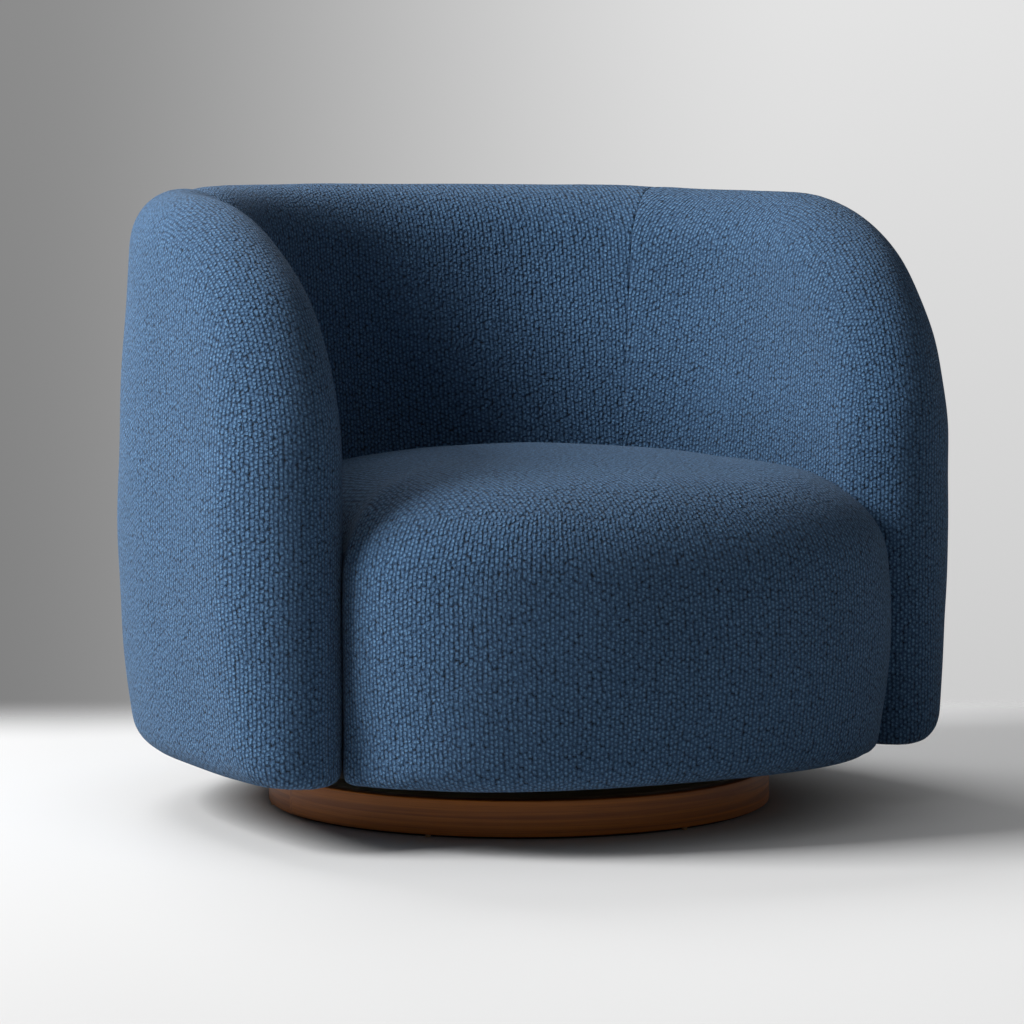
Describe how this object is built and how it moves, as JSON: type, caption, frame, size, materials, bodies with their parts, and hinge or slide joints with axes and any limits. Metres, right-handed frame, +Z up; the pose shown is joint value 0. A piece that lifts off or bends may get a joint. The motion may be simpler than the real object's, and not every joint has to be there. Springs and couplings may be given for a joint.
{
  "type": "upholstered swivel armchair",
  "caption": "Low barrel armchair whose padded wall runs round the back and both arms, with a crowned seat block, turning on a ball bearing over a round wooden plinth.",
  "frame": {"origin": "on the floor, on the swivel axis, at the centre of the plinth's felt ring", "axes": "+Z up, +X across the chair, the sitter faces -Y"},
  "size_m": [0.928, 0.8759, 0.712],
  "materials": {
    "blue_weave": "chunky basket weave, matte",
    "walnut": "walnut stain under satin lacquer",
    "birch_plywood": "plain plywood, unfinished",
    "hardboard": "thin bending board, unfinished",
    "foam": "cut upholstery foam",
    "pad_felt": "needled felt pad",
    "edge_roll_felt": "rolled felt edge",
    "dust_cloth": "black non-woven cloth",
    "dark_felt": "dense dark felt",
    "tan_plastic": "tan nylon nail-on glide",
    "nylon": "natural nylon",
    "black_steel": "black stoved paint",
    "zinc_steel": "zinc plated",
    "spring_steel": "drawn spring wire",
    "bearing_steel": "polished bearing steel",
    "bronze": "sintered bronze"
  },
  "bodies": {
    "base": {"felt_ring": "dark_felt", "floor_glides": "tan_plastic", "glide_nails": "zinc_steel", "plinth_ring": "walnut", "plinth_board": "birch_plywood", "plinth_blocks": "birch_plywood", "block_screws": "zinc_steel", "lower_swivel_plate": "black_steel", "lower_plate_bolts": "zinc_steel", "lower_plate_washers": "zinc_steel", "lower_plate_nuts": "zinc_steel", "pivot_pin": "zinc_steel", "pivot_washer": "zinc_steel", "pivot_circlip": "black_steel"},
    "ball_ring": {"ball_cage": "nylon", "bearing_balls": "bearing_steel"},
    "seat": {"upper_swivel_plate": "black_steel", "pivot_bush": "bronze", "upper_plate_bolts": "zinc_steel", "tee_nuts": "zinc_steel", "bottom_board": "birch_plywood", "dust_cover": "dust_cloth", "seat_struts": "birch_plywood", "strut_screws": "zinc_steel", "front_panel": "birch_plywood", "seat_deck": "birch_plywood", "edge_roll": "edge_roll_felt", "spring_clips": "zinc_steel", "seat_springs": "spring_steel", "spring_felt": "pad_felt", "seat_foam": "foam", "front_foam": "foam", "seat_cover": "blue_weave", "bottom_rail": "birch_plywood", "rail_screws": "zinc_steel", "back_posts": "birch_plywood", "top_rail": "birch_plywood", "top_rail_screws": "zinc_steel", "inner_back_board": "hardboard", "outer_back_board": "hardboard", "left_inner_arm_panel": "birch_plywood", "left_outer_arm_panel": "birch_plywood", "right_inner_arm_panel": "birch_plywood", "right_outer_arm_panel": "birch_plywood", "arm_spacers": "birch_plywood", "arm_panel_screws": "zinc_steel", "back_foam": "foam", "left_arm_foam": "foam", "right_arm_foam": "foam", "back_cover": "blue_weave", "left_arm_cover": "blue_weave", "right_arm_cover": "blue_weave"}
  },
  "joints": [
    {"name": "swivel", "type": "hinge", "parent": "base", "child": "seat", "pos_m": [0, 0, 0.0591], "axis": [0, 0, 1], "continuous": true},
    {"name": "ball_ring_roll", "type": "hinge", "parent": "base", "child": "ball_ring", "pos_m": [0, 0, 0.0591], "axis": [0, 0, 1], "continuous": true}
  ],
  "couplings": [
    {"joint": "ball_ring_roll", "follows": "swivel", "ratio": 0.5}
  ]
}
